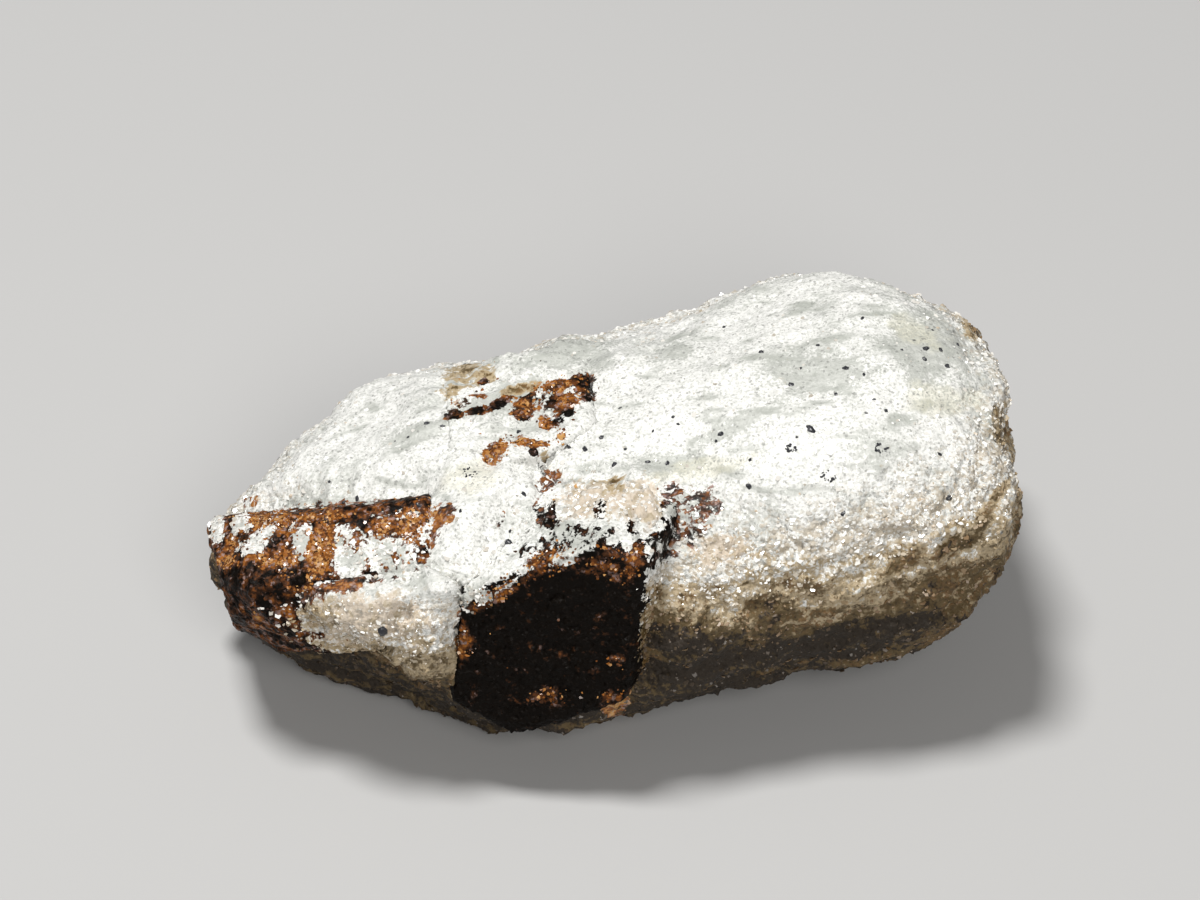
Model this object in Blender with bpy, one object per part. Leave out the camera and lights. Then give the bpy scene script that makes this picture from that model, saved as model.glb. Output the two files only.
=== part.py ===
"""A hand specimen of staurolite in schist: dark brown prisms grown in a pale, silvery mica schist.

Metres, +Z up. The stone lies on its flat underside, its length runs along X, and the side with the
broken end of the largest crystal faces -Y. The origin is on the flat underside, near its middle.
Shapes are worked out in millimetres, and one empty above them all scales them to metres.
"""

import math

import bmesh
import bpy
from mathutils import Matrix, Vector, noise

MM = 0.001
GAP_MM = 0.3  # between a crystal and the rock round it

# The stone as a swollen spindle along X, in millimetres. At each station are the place of its axis
# and how far it reaches from that axis to the front, to the back, up and down.
HALF_LENGTH = 14.0
STATIONS = (
    # x, axis y, axis z, front, back, up, down
    (-14.0, -2.8, 4.5, 6.0, 6.8, 4.5, 4.9),
    (-9.5, -1.8, 4.6, 6.5, 7.9, 4.95, 5.0),
    (-5.0, -1.0, 4.7, 7.1, 7.9, 4.8, 5.3),
    (-1.0, -0.5, 4.9, 7.1, 7.9, 5.1, 5.6),
    (3.0, 0.2, 5.3, 7.0, 8.1, 5.6, 5.0),
    (8.0, 0.9, 5.6, 7.4, 8.6, 6.4, 5.0),
    (14.0, 1.2, 5.9, 7.8, 7.6, 5.8, 4.8),
)
SECTION_POWER = 2.6  # 2 is an ellipse, and more is squarer
END_POWERS = (3.0, 4.2)  # of the left and the right end
END_CROWDING = 0.18  # moves the rings of points towards the two ends, where the stone turns faster

# Broken faces: heading in degrees, anticlockwise from +X, pitch above the horizon, and the distance
# of the face from the middle of the stone, in millimetres.
MIDDLE = Vector((0.0, 0.0, 4.8))
BROKEN_FACES = {
    "front_left": (-118.0, -30.0, 8.3),
    "front_right_under": (-72.0, -50.0, 5.9),
    "back_left": (128.0, 22.0, 9.3),
    "left_top": (160.0, 55.0, 8.3),
    "right_end": (5.0, 7.0, 13.4),
    "right_back_top": (60.0, 50.0, 10.6),
    "right_end_under": (-20.0, -40.0, 9.4),
    "back_under": (90.0, -38.0, 8.0),
}
EDGE_WEAR = 0.9  # how far a broken face's edges are rounded, in millimetres

# Swellings and hollows: place, radius and height along the surface's own outward direction.
SWELLINGS = {
    "brow_over_the_front_crystal": (Vector((-4.0, -5.3, 9.0)), 2.6, 0.8),
    "hump_of_the_right_lobe": (Vector((8.0, 3.0, 11.5)), 4.5, 0.3),
    "saddle_between_the_lobes": (Vector((-0.5, 3.0, 10.0)), 3.0, 0.1),
    "hollow_above_the_left_crystal": (Vector((-9.5, -2.5, 8.5)), 3.0, -0.5),
    "shoulder_right_of_the_front_crystal": (Vector((2.2, -7.2, 5.6)), 2.6, 0.7),
    "cheek_under_the_left_crystal": (Vector((-7.6, -7.0, 6.4)), 2.3, 0.4),
    "hollow_along_the_left_crystal": (Vector((-8.0, -4.2, 8.4)), 2.4, -0.45),
    "dip_over_the_front_crystal": (Vector((0.8, -4.2, 9.5)), 2.6, -0.35),
    "hollow_in_the_right_front": (Vector((5.0, -6.5, 2.0)), 3.0, -0.4),
}
REST_HEIGHT = 0.35  # the height at which the flat underside cuts the stone, in millimetres
STONE_SUBDIVISIONS = 5  # of the sphere that the stone is shaped from

# Waves of the broken surface: how many to the millimetre, their height, and where they start.
WAVES = (
    (0.22, 0.45, Vector((3.0, 8.0, 1.0))),
    (0.55, 0.28, Vector((0.0, 0.0, 0.0))),
)

# The rock splits in layers, whose edges stand out as low ledges on the faces that run across them.
ACROSS_THE_LAYERS = Vector((-0.12, -0.30, 0.95)).normalized()
LAYER_THICKNESS = 2.2
LEDGE_HEIGHT = 0.3
LEDGE_PEAK = 1.6  # at 1 a ledge stands out most at the middle of its layer, and above 1 nearer its top
LEDGE_MEAN = 0.5  # of a ledge's height, taken off so that the ledges don't thicken the stone
LAYER_BEND = (0.18, 0.5)  # waves to the millimetre, and how many layers they shift

# Staurolite's prism faces meet at this angle, and its side faces cut off the sharper edges.
PRISM_ANGLE = math.radians(129.3)
PRISM_SIDES = 6
ON_MIDDLE_LINE = 0.1  # corners of a hexagon of radius 1 that lie this near its middle line are the
# blunt edges, and the others lie on the side faces

# Each crystal: the middle of its outer end, the heading and pitch of its long axis outwards, its
# width between side faces, its depth between blunt edges, how far the upper and the lower blunt
# edge lie off the middle of that width, its length, its turn about its own axis in degrees, how
# far it stands proud of the stone, and the direction its outer end faces.
CRYSTALS = {
    "staurolite_front": {
        "end": Vector((-2.4, -7.6, 6.2)), "axis": (-114.0, -9.0), "width": 5.6, "depth": 7.1,
        "blunt_edges": (1.3, -0.5), "length": 4.8, "turn": -2.0, "proud": 1.5,
        "end_faces": (-97.0, 11.0),
    },
    "staurolite_left": {
        "end": Vector((-13.2, -3.75, 5.05)), "axis": (178.0, -11.0), "width": 4.8, "depth": 5.2,
        "blunt_edges": (0.0, 0.0), "length": 7.6, "turn": 9.0, "proud": 0.35,
        "end_faces": (194.0, -8.0),
    },
    "staurolite_top": {
        "end": Vector((-3.3, 0.8, 9.8)), "axis": (95.0, 80.0), "width": 4.8, "depth": 6.1,
        "blunt_edges": (0.0, 0.0), "length": 2.3, "turn": 0.0, "proud": 0.3,
        "end_faces": (100.0, 84.0),
    },
}
OPEN_OUT = 3.0  # rock taken away in front of a crystal's outer end, in millimetres
CRYSTAL_WEAR = 0.22  # rounding of a crystal's edges, in millimetres


def smooth_curve(x, column):
    """The value of one column of STATIONS at x, on a cubic curve through the stations."""
    k = max(i for i in range(len(STATIONS) - 1) if i == 0 or STATIONS[i][0] <= x)
    left, right = STATIONS[k], STATIONS[k + 1]
    before = STATIONS[max(k - 1, 0)]
    after = STATIONS[min(k + 2, len(STATIONS) - 1)]
    span = right[0] - left[0]
    t = (x - left[0]) / span
    slope_left = (right[column] - before[column]) / (right[0] - before[0])
    slope_right = (after[column] - left[column]) / (after[0] - left[0])
    return (
        (2 * t**3 - 3 * t**2 + 1) * left[column]
        + (t**3 - 2 * t**2 + t) * span * slope_left
        + (3 * t**2 - 2 * t**3) * right[column]
        + (t**3 - t**2) * span * slope_right
    )


def spindle_point(unit):
    """Where a point of the unit sphere lies on the spindle, in millimetres."""
    x = HALF_LENGTH * max(-1.0, min(1.0, unit.x * (1 + END_CROWDING * (1 - unit.x**2))))
    _, axis_y, axis_z, front, back, up, down = (smooth_curve(x, c) for c in range(7))
    power = END_POWERS[0] if x < 0 else END_POWERS[1]
    taper = (1 - abs(x / HALF_LENGTH) ** power) ** (1 / power)
    turn = math.atan2(unit.z, unit.y)
    across = back if math.cos(turn) > 0 else front
    height = up if math.sin(turn) > 0 else down
    reach = (
        abs(math.cos(turn) / across) ** SECTION_POWER
        + abs(math.sin(turn) / height) ** SECTION_POWER
    ) ** (-1 / SECTION_POWER)
    y = axis_y + taper * reach * math.cos(turn)
    z = axis_z + taper * reach * math.sin(turn)
    return Vector((x, y, z))


def direction(heading, pitch):
    """The unit vector of a heading and a pitch in degrees."""
    a, e = math.radians(heading), math.radians(pitch)
    return Vector((math.cos(e) * math.cos(a), math.cos(e) * math.sin(a), math.sin(e)))


def held_behind(point, normal, distance, wear):
    """The point drawn in towards MIDDLE until it lies behind a plane, with the plane's edges rounded."""
    ahead = (point - MIDDLE).dot(normal)
    beyond = ahead - distance
    if beyond <= -wear:
        return point
    held = distance if beyond >= wear else ahead - (beyond + wear) ** 2 / (4 * wear)
    return MIDDLE + (point - MIDDLE) * (held / ahead)


def above_ground(point):
    """The point drawn in to the flat underside if it lies below that."""
    down = Vector((0.0, 0.0, -1.0))
    held = held_behind(point, down, MIDDLE.z - REST_HEIGHT, 0.0)
    return Vector((held.x, held.y, max(held.z - REST_HEIGHT, 0.0)))


def ledge(point, outward):
    """How far the edge of the layer at a point stands out: most at its top, and least under its lip."""
    waves, shift = LAYER_BEND
    layer = point.dot(ACROSS_THE_LAYERS) / LAYER_THICKNESS + shift * noise.noise(point * waves)
    within = layer - math.floor(layer)
    across = 1.0 - outward.dot(ACROSS_THE_LAYERS) ** 2
    return LEDGE_HEIGHT * across**2 * (math.sin(math.pi * within**LEDGE_PEAK) - LEDGE_MEAN)


def stone_point(unit):
    """A point of the stone's surface, in millimetres, before the flat underside is cut."""
    point = spindle_point(unit)
    for heading, pitch, distance in BROKEN_FACES.values():
        point = held_behind(point, direction(heading, pitch), distance, EDGE_WEAR)
    outward = (point - MIDDLE).normalized()
    rise = ledge(point, outward)
    for frequency, height, start in WAVES:
        rise += height * noise.noise(point * frequency + start)
    for place, radius, height in SWELLINGS.values():
        rise += height * math.exp(-(((point - place).length / radius) ** 2))
    return point + outward * rise


def stone_mesh(name, proud):
    """The whole stone as a mesh, standing proud of itself by so many millimetres."""
    shape = bmesh.new()
    bmesh.ops.create_icosphere(shape, subdivisions=STONE_SUBDIVISIONS, radius=1.0)
    for vert in shape.verts:
        vert.co = stone_point(vert.co.normalized())
    shape.normal_update()
    for vert, normal in [(v, v.normal.copy()) for v in shape.verts]:
        vert.co += normal * proud
    for vert in shape.verts:
        vert.co = above_ground(vert.co)
    mesh = bpy.data.meshes.new(name)
    shape.to_mesh(mesh)
    shape.free()
    return mesh


def prism_mesh(name, crystal, margin, open_out=0.0):
    """A staurolite prism, larger all round by the margin in millimetres, with its outer end cut askew
    and reaching further out by open_out."""
    half_width = crystal["width"] / 2 + margin
    half_depth = crystal["depth"] / 2 + margin / math.sin(PRISM_ANGLE / 2)
    slope = 1 / math.tan(PRISM_ANGLE / 2)  # of a prism face, across the width
    overshoot = crystal["depth"]  # beyond the outer end, for the cut
    length = crystal["length"] + margin + overshoot
    shape = bmesh.new()
    bmesh.ops.create_cone(
        shape, cap_ends=True, segments=PRISM_SIDES, radius1=1.0, radius2=1.0, depth=length
    )
    upper, lower = crystal["blunt_edges"]
    for vert in shape.verts:
        blunt = upper if vert.co.y > 0 else lower
        if abs(vert.co.x) < ON_MIDDLE_LINE:
            x, drop = blunt, 0.0
        else:
            x = math.copysign(half_width, vert.co.x)
            drop = slope * abs(x - blunt)
        vert.co.x, vert.co.y = x, math.copysign(half_depth - drop, vert.co.y)
        vert.co.z += overshoot - length / 2
    axis = direction(*crystal["axis"])
    upright = axis.to_track_quat("Z", "Y").to_matrix().to_4x4()
    turned = Matrix.Rotation(math.radians(crystal["turn"]), 4, "Z")
    place = Matrix.Translation(crystal["end"]) @ upright @ turned
    bmesh.ops.transform(shape, matrix=place, verts=shape.verts)
    faces = direction(*crystal["end_faces"])
    cut = bmesh.ops.bisect_plane(
        shape, geom=shape.verts[:] + shape.edges[:] + shape.faces[:],
        plane_co=crystal["end"] + faces * open_out, plane_no=faces, clear_outer=True,
    )
    rim = [g for g in cut["geom_cut"] if isinstance(g, bmesh.types.BMEdge)]
    bmesh.ops.contextual_create(shape, geom=rim)
    bmesh.ops.recalc_face_normals(shape, faces=shape.faces)
    if not open_out:
        bmesh.ops.bevel(
            shape, geom=shape.edges[:], offset=CRYSTAL_WEAR, segments=2, profile=0.5, affect="EDGES",
        )
    mesh = bpy.data.meshes.new(name)
    shape.to_mesh(mesh)
    shape.free()
    return mesh


def material(name, color, roughness):
    made = bpy.data.materials.new(name)
    made.use_nodes = True
    shader = made.node_tree.nodes["Principled BSDF"]
    shader.inputs["Base Color"].default_value = (*color, 1.0)
    shader.inputs["Roughness"].default_value = roughness
    return made


def placed(name, mesh, collection, millimetres):
    """A new object whose mesh is in millimetres, under the empty that scales it to metres."""
    made = bpy.data.objects.new(name, mesh)
    made.parent = millimetres
    collection.objects.link(made)
    return made


def helper(name, mesh, collection, millimetres):
    """An object that only cuts others."""
    made = placed(name, mesh, collection, millimetres)
    made.hide_render = True
    made.display_type = "WIRE"
    return made


def boolean(obj, operation, other):
    modifier = obj.modifiers.new(f"{operation.lower()} {other.name}", "BOOLEAN")
    modifier.operation = operation
    modifier.object = other


def main():
    for old in list(bpy.data.objects):
        bpy.data.objects.remove(old)
    specimen = bpy.data.collections.new("staurolite_specimen")
    cutters = bpy.data.collections.new("cutters")
    for collection in (specimen, cutters):
        bpy.context.scene.collection.children.link(collection)

    millimetres = bpy.data.objects.new("millimetres", None)
    millimetres.scale = (MM, MM, MM)
    specimen.objects.link(millimetres)

    rock = material("mica schist", (0.72, 0.71, 0.67), 0.55)
    brown = material("staurolite", (0.10, 0.045, 0.02), 0.4)

    schist = placed("schist", stone_mesh("schist", 0.0), specimen, millimetres)
    schist.data.materials.append(rock)
    for name, crystal in CRYSTALS.items():
        hole = prism_mesh(f"{name}_pocket", crystal, GAP_MM, open_out=OPEN_OUT)
        hole.materials.append(rock)
        pocket = helper(f"{name}_pocket", hole, cutters, millimetres)
        boolean(schist, "DIFFERENCE", pocket)
        bound = stone_mesh(f"{name}_envelope", crystal["proud"])
        bound.materials.append(brown)
        envelope = helper(f"{name}_envelope", bound, cutters, millimetres)
        prism = placed(name, prism_mesh(name, crystal, 0.0), specimen, millimetres)
        prism.data.materials.append(brown)
        boolean(prism, "INTERSECT", envelope)


main()
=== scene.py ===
"""The looks of a staurolite specimen: dark brown prisms grown in a pale, silvery mica schist.

Each solid of the frame is remeshed finely, its facets are smoothed, and the relief of broken rock or
of a worn crystal is raised on it. Mica flakes, quartz grains and black ore grains are meshes of their
own. Lengths are in millimetres until a piece is finished, and a piece is then scaled to metres.
"""

import math

import bmesh
import bpy
import numpy as np
from mathutils import Matrix, Vector, noise
from mathutils.bvhtree import BVHTree


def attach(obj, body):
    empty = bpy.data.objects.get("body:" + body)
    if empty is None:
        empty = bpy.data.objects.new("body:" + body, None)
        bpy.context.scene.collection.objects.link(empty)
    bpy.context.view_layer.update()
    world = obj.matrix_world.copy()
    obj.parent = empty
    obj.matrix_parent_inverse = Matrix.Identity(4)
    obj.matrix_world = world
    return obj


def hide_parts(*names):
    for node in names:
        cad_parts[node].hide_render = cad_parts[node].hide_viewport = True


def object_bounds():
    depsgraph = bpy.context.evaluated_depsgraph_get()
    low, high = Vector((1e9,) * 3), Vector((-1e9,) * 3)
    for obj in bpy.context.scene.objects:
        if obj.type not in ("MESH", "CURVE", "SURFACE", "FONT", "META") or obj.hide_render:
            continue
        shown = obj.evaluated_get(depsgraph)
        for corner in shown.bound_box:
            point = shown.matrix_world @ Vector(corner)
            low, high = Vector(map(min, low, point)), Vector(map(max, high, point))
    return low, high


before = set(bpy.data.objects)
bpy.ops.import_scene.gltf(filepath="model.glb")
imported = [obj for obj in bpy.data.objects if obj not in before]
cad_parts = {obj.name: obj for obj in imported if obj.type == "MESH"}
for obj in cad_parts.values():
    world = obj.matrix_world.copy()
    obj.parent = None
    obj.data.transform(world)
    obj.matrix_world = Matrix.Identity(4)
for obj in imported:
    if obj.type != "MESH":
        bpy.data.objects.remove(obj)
cad_low, cad_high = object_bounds()

MM = 0.001
NOISE_SEED, DRAW_SEED = 5, 11

# The camera, at the photograph's viewing angle. Places in the photograph are in pixels.
PHOTO_WIDTH, PHOTO_HEIGHT = 1200, 900
CAMERA_AIM = Vector((-0.6, 2.2, 6.2))
CAMERA_DISTANCE = 138.0
CAMERA_ELEVATION = math.radians(40.0)
LENS, SENSOR = 120.0, 36.0

# Size of the faces of the fine meshes, and the rounds of smoothing that hide the solids' facets.
ROCK_FACE = 0.141
CRYSTAL_FACE = 0.085
ROCK_SMOOTHING = 9
SMOOTHING_STEPS = (0.5, -0.52)  # in and out again, so that a round keeps the volume

# The layers in which the schist splits.
ACROSS_THE_LAYERS = np.array((-0.12, -0.30, 0.95)) / math.hypot(0.12, 0.30, 0.95)
LAYER_PERIOD = 0.7

# The relief of the rock: the height of its layers' broken edges, and rough noise and flat chips, each
# with its height, its waves to the millimetre and a seed. Smooth rock has a share of the last two.
LAYER_HEIGHT = 0.17
ROCK_NOISE = ((0.17, 0.75, 4, 3), (0.10, 2.6, 5, 2))  # and the noise's octaves
ROCK_CHIPS = ((0.28, 1.3, 6), (0.36, 2.9, 7))
SMOOTH_ROCK_RELIEF = 0.35

# The relief of a crystal, and how thick the mica that coats it is.
CRYSTAL_CHIPS = ((0.22, 1.6), (0.22, 4.2))
CRYSTAL_NOISE = 0.05
MICA_COAT, MICA_COAT_NOISE = 0.08, 0.10

FLAT_BELOW, FULL_RELIEF_ABOVE = 0.0, 0.9  # heights: nothing is raised on the face it rests on

# Heights where the rock turns granular and where it turns brown, at one end and for each millimetre
# from there to the right, and how soft each change is. The brown is a real stain, darkened partly as
# painted shade on the lower sides.
LEFT_END = -9.0
GRANULAR_BELOW, GRANULAR_RISE, GRANULAR_SOFTNESS = 7.2, 0.165, 1.1
STAIN_AND_SHADE_BELOW, STAIN_AND_SHADE_RISE, STAIN_AND_SHADE_SOFTNESS = 5.10, 0.145, 2.1

# The rock rises to a crystal's top over the bank's width, where the crystal stands proud by less than
# the step. It is drawn in to a crystal nearer than the first distance, and not beyond the second.
BANK_WIDTH = 1.8
BANK_STEP = (1.3, 0.7)
BANK_FACING = 0.62  # the upper side only
DRAWN_IN = (0.50, 1.1)
CONTACT = -0.04  # how far the rock stands off the crystal: it goes in a little

# How warm the brown is: dark below 0.1, orange above 0.66.
# The front crystal's brown is its own dark brown taken to near-black as painted shade on its end
# face, which faces down and away from the light.
ROCK_WARMTH, FRONT_WARMTH_AND_SHADE, LEFT_WARMTH, TOP_WARMTH = 0.33, -0.12, 0.26, 0.30
RUST_WARMTH = 0.40
DARK_WARMTH, DARK_SHARE = 0.10, 0.9
CRYSTAL_STAIN_AND_SHADE = 0.5  # a crystal's share of the stain and painted shade that rock would have there
# How much a stain mark adds; some marks are partly painted shade.
MARKED_STAIN_AND_SHADE = 0.55

# Marks seen in the photograph: centre, half length and half width in pixels, and tilt in degrees,
# anticlockwise.
RUST = (
    # the left crystal, from its inner end to its tip
    (436, 517, 10, 10, 0), (410, 524, 13, 13, 0), (385, 527, 12, 8, 0), (330, 515, 12, 6, 0),
    (319, 555, 35, 11, 80), (308, 517, 9, 4, 0), (283, 523, 10, 10, 0), (262, 520, 12, 8, 0),
    (284, 560, 13, 12, 0), (264, 559, 8, 7, 0), (228, 562, 9, 5, 0), (232, 544, 8, 5, 80),
    (255, 624, 10, 7, 70), (350, 584, 20, 3, 5), (250, 499, 9, 3, 5),
    # the rim and the lower edge of the front crystal
    (467, 641, 16, 11, 90), (546, 697, 17, 8, 0), (618, 702, 17, 13, 0), (616, 660, 9, 6, 0),
    (608, 572, 26, 8, -12), (628, 572, 9, 15, 0), (548, 560, 22, 12, 15), (512, 584, 24, 8, 38),
    (622, 556, 16, 7, -20), (503, 590, 40, 8, 30), (560, 566, 30, 7, 10), (335, 587, 36, 5, 4),
    # the top crystal
    (497, 452, 16, 9, 50), (530, 443, 22, 5, -5), (546, 425, 8, 6, -50), (561, 436, 6, 6, 0),
    (556, 386, 22, 6, 10), (568, 401, 13, 7, 8), (525, 407, 13, 8, 0), (456, 402, 6, 4, 0),
    # the rock between the front crystal and the right lobe
    (641, 548, 7, 7, 0), (708, 523, 7, 7, 0), (548, 482, 10, 6, 80), (444, 518, 7, 5, 0),
)
# Dark brown marks. Those along the groove under the left crystal and on its downward faces are partly
# painted shade.
DARK = (
    # the top crystal
    (523, 413, 11, 9, 0), (577, 382, 20, 6, 8), (587, 391, 14, 9, 80), (562, 403, 18, 9, 10),
    (568, 412, 8, 7, 0), (556, 419, 9, 5, 0), (498, 404, 16, 5, 25), (535, 452, 7, 6, 0),
    (478, 410, 12, 5, 15), (455, 415, 10, 6, 0), (483, 383, 5, 4, 0), (536, 397, 18, 7, 15),
    (552, 481, 5, 8, 0), (322, 589, 34, 6, 6), (640, 560, 14, 9, -20),
    # the rock between the front crystal and the right lobe, and the front crystal's top
    (548, 517, 14, 10, 90), (602, 551, 20, 11, 0), (672, 489, 13, 7, 8), (699, 498, 9, 5, 0),
    (714, 509, 12, 6, 0), (693, 540, 13, 6, 60), (669, 535, 13, 5, 0), (660, 554, 15, 6, 0),
    (599, 510, 9, 7, 80), (502, 521, 9, 4, 70), (446, 509, 8, 5, 0), (470, 612, 14, 6, 25),
    # the left crystal's lower side and tip, its own dark brown with painted shade in the groove
    # beneath it and on the downward faces
    (278, 571, 28, 6, 0), (300, 597, 32, 8, 15), (246, 628, 12, 14, 0), (250, 598, 22, 8, 0),
    (275, 588, 34, 10, 0), (360, 581, 30, 4, 4),
)
SPECKLED = (
    (560, 545, 38, 14, 10), (592, 534, 30, 16, 0), (541, 500, 26, 9, 90), (692, 515, 34, 28, 10),
    (656, 545, 22, 10, 0), (541, 397, 11, 7, 0), (576, 391, 7, 6, 0), (470, 400, 22, 6, 20),
    (552, 415, 10, 5, 0),
    (420, 553, 17, 20, 0), (262, 531, 20, 14, 0), (376, 556, 8, 8, 0), (632, 527, 12, 9, 0),
    (350, 545, 16, 8, 0), (392, 562, 12, 12, 0), (244, 538, 12, 10, 0), (300, 530, 12, 10, 0),
    (395, 515, 22, 6, 0), (288, 508, 14, 5, 0),
    (320, 504, 60, 4, 3), (434, 534, 8, 20, 0), (500, 589, 36, 6, 30), (560, 562, 26, 5, 10),
)
SILVER = (
    # mica that coats the left crystal
    (242, 526, 12, 10, 60), (252, 545, 14, 11, 0), (303, 536, 12, 6, 80), (299, 552, 7, 6, 0),
    (350, 556, 20, 26, 0), (384, 555, 20, 24, 0), (420, 555, 17, 20, 0), (217, 525, 17, 8, 90),
    (431, 535, 6, 20, 0),
    # rock on the left crystal's underside, and mica at the front crystal's upper left corner
    (332, 628, 34, 11, -15), (360, 648, 40, 15, -15), (474, 598, 16, 11, 25),
    # rock over the front crystal's right edge
    (657, 585, 14, 26, 0), (656, 645, 15, 48, 0),
)
GREY = (
    (576, 540, 34, 16, 0), (546, 522, 12, 14, 0), (692, 506, 30, 14, 0), (474, 598, 20, 14, 25),
    (930, 345, 52, 40, -20), (820, 372, 60, 22, 0), (560, 352, 50, 16, 15),
    (670, 465, 42, 12, 0), (995, 430, 10, 18, 0), (338, 503, 60, 6, 0), (675, 353, 26, 9, 10),
    (352, 560, 18, 10, 0), (300, 548, 20, 16, 0), (390, 560, 16, 20, 0), (500, 400, 50, 16, 20),
    (735, 425, 46, 10, 25), (912, 584, 20, 7, 15), (420, 432, 40, 10, 20), (602, 358, 16, 12, 0),
)
QUARTZ = (
    (590, 500, 32, 20, 0), (640, 504, 24, 24, 0), (720, 550, 36, 16, 0), (365, 622, 70, 30, -5),
)
YELLOW = (
    (971, 331, 14, 9, -50), (700, 470, 50, 10, 12), (470, 478, 30, 16, 0), (940, 400, 40, 16, 0),
    (915, 332, 30, 14, -20),
)
# Brown stains. The marks low on the front, beside the front crystal's end face and along the lower
# right, are partly painted shade.
STAIN_AND_SHADE_MARKS = (
    (466, 376, 25, 11, 5), (450, 388, 10, 11, 0), (524, 389, 20, 5, 12), (654, 591, 12, 10, 0),
    (690, 660, 62, 44, 0), (652, 630, 20, 34, 0), (670, 640, 34, 30, 0),
    (903, 564, 20, 8, 20), (308, 615, 26, 15, 0), (850, 640, 90, 16, 12), (971, 331, 12, 8, -50),
    (1001, 430, 20, 9, 90), (545, 462, 10, 6, 90), (613, 487, 10, 7, 0),
    (972, 535, 26, 6, 45), (948, 546, 20, 5, 45), (994, 500, 24, 5, 55), (765, 612, 20, 12, 0),
)

# Black grains, in the photograph: centre and radius in pixels.
BLACK_GRAINS = (
    (791, 385, 3.5), (810, 430, 5.5), (818, 345, 2.5), (836, 394, 2.5), (862, 318, 3.0),
    (925, 349, 3.5), (925, 359, 3.0), (941, 350, 3.5), (947, 366, 3.5), (846, 368, 3.5),
    (864, 374, 2.5), (721, 434, 3.5), (667, 463, 4.0), (749, 486, 3.5), (940, 454, 2.5),
    (949, 498, 4.0), (673, 417, 2.0), (801, 368, 2.0), (886, 411, 2.5), (724, 327, 2.5),
    (761, 352, 3.5), (427, 423, 4.0), (442, 426, 3.0), (519, 432, 4.0), (460, 511, 2.5),
    (585, 449, 4.5), (602, 437, 3.5), (620, 408, 2.0), (615, 464, 4.5), (648, 462, 3.5),
    (653, 431, 2.0), (625, 449, 2.5), (357, 498, 4.0), (344, 502, 3.0), (382, 632, 5.5),
    (750, 460, 2.0), (902, 350, 2.0), (958, 345, 2.5), (914, 340, 2.0), (933, 330, 2.0),
    (874, 399, 2.0), (866, 413, 1.8), (797, 437, 2.0), (843, 514, 3.5), (716, 441, 2.5),
    (678, 424, 2.0), (408, 437, 1.8), (395, 441, 1.5), (329, 482, 2.0), (418, 505, 3.5),
    (524, 494, 3.5), (509, 541, 4.0), (510, 531, 2.0), (569, 447, 3.0), (376, 556, 3.0),
)
GRAIN_RINGS = ((829, 476, 6.5), (881, 448, 5.5), (470, 472, 6.0), (791, 448, 4.5))
RING_GRAINS, RING_GAP, RING_GRAIN_RADIUS = 12, 3, 1.5
SCATTERED_GRAINS = 170  # on the sides that the photograph doesn't show
GRAIN_RADII = (0.03, 0.10)

FLAKE_CORNERS = 5
FLAKE_THICKNESS = 0.02
FLAKE_TILT, GRAIN_TILT = 0.16, 0.3  # how crooked they lie
FLAKE_LAYERING, GOLDEN_LAYERING = 0.60, 0.4  # how far they lie along the rock's layers
JITTER = 0.25
SUNK = 0.38  # how deep a grain sits, as a share of its radius
FLAKE_RADII = (0.035, 0.12)
GOLDEN_RADII = (0.025, 0.085)
QUARTZ_RADII = (0.04, 0.095)
ROCK_FLAKES, CRYSTAL_FLAKES, ROCK_QUARTZ = 10500, 1400, 8500
GOLDEN_FLAKES = {"staurolite_left": 2000, "staurolite_front": 450, "staurolite_top": 450}

WHITE_MICA = (0.80, 0.80, 0.775)
PALE_GREY = (0.42, 0.435, 0.40)
STRAW = (0.64, 0.60, 0.40)
PINK_BEIGE = (0.57, 0.47, 0.36)
WARM_GREY = (0.47, 0.41, 0.32)
BEIGE = (0.41, 0.325, 0.205)
# Olive brown of the stain, taken a little darker as painted shade on the lower sides.
OLIVE_BROWN = (0.105, 0.070, 0.027)
TAWNY = (0.18, 0.095, 0.032)
LILAC_GREY = (0.40, 0.32, 0.32)
SPECK_GREY = (0.20, 0.20, 0.19)
# Near-black of the lowest rock and of the flakes and grains there: a dark stain with painted shade.
EARTH_AND_SHADE = (0.022, 0.014, 0.007)
# Near-black, darker than the mineral: painted shade on the front crystal's end face and on the
# crystals' downward faces.
NEAR_BLACK = (0.0045, 0.003, 0.002)
DARK_BROWN = (0.040, 0.017, 0.008)
RED_BROWN = (0.125, 0.042, 0.012)
ORANGE_BROWN = (0.30, 0.105, 0.018)
GOLDEN = (0.52, 0.29, 0.10)
ORE_BLACK, ORE_BLUE = (0.01, 0.012, 0.018), (0.04, 0.04, 0.045)
SILVER_TONES = (0.40, 0.36, 0.30), (0.72, 0.70, 0.66), (0.88, 0.88, 0.86)
GOLDEN_TONES = DARK_BROWN, RED_BROWN, ORANGE_BROWN, (0.52, 0.29, 0.11)
QUARTZ_TONES = WARM_GREY, PINK_BEIGE, (0.80, 0.78, 0.72), WHITE_MICA

ROCK_ROUGHNESS, STAINED_ROCK_ROUGHNESS, BROWN_ROUGHNESS, GLOSSY_ROUGHNESS = 0.48, 0.80, 0.45, 0.18
BODY_ROUGHNESS, STAINED_BODY_ROUGHNESS, ORE_ROUGHNESS, FLOOR_ROUGHNESS = 0.17, 0.45, 0.35, 0.8
ROCK_SPECULAR, CRYSTAL_SPECULAR = 0.5, 0.06
MICA_SPECULAR, GOLDEN_SPECULAR, QUARTZ_SPECULAR = 0.8, 0.35, 0.7
BUMP_HEIGHT = 0.06

FLOOR_GREY = (0.47, 0.47, 0.47)
WORLD_STRENGTH = 0.12
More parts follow.
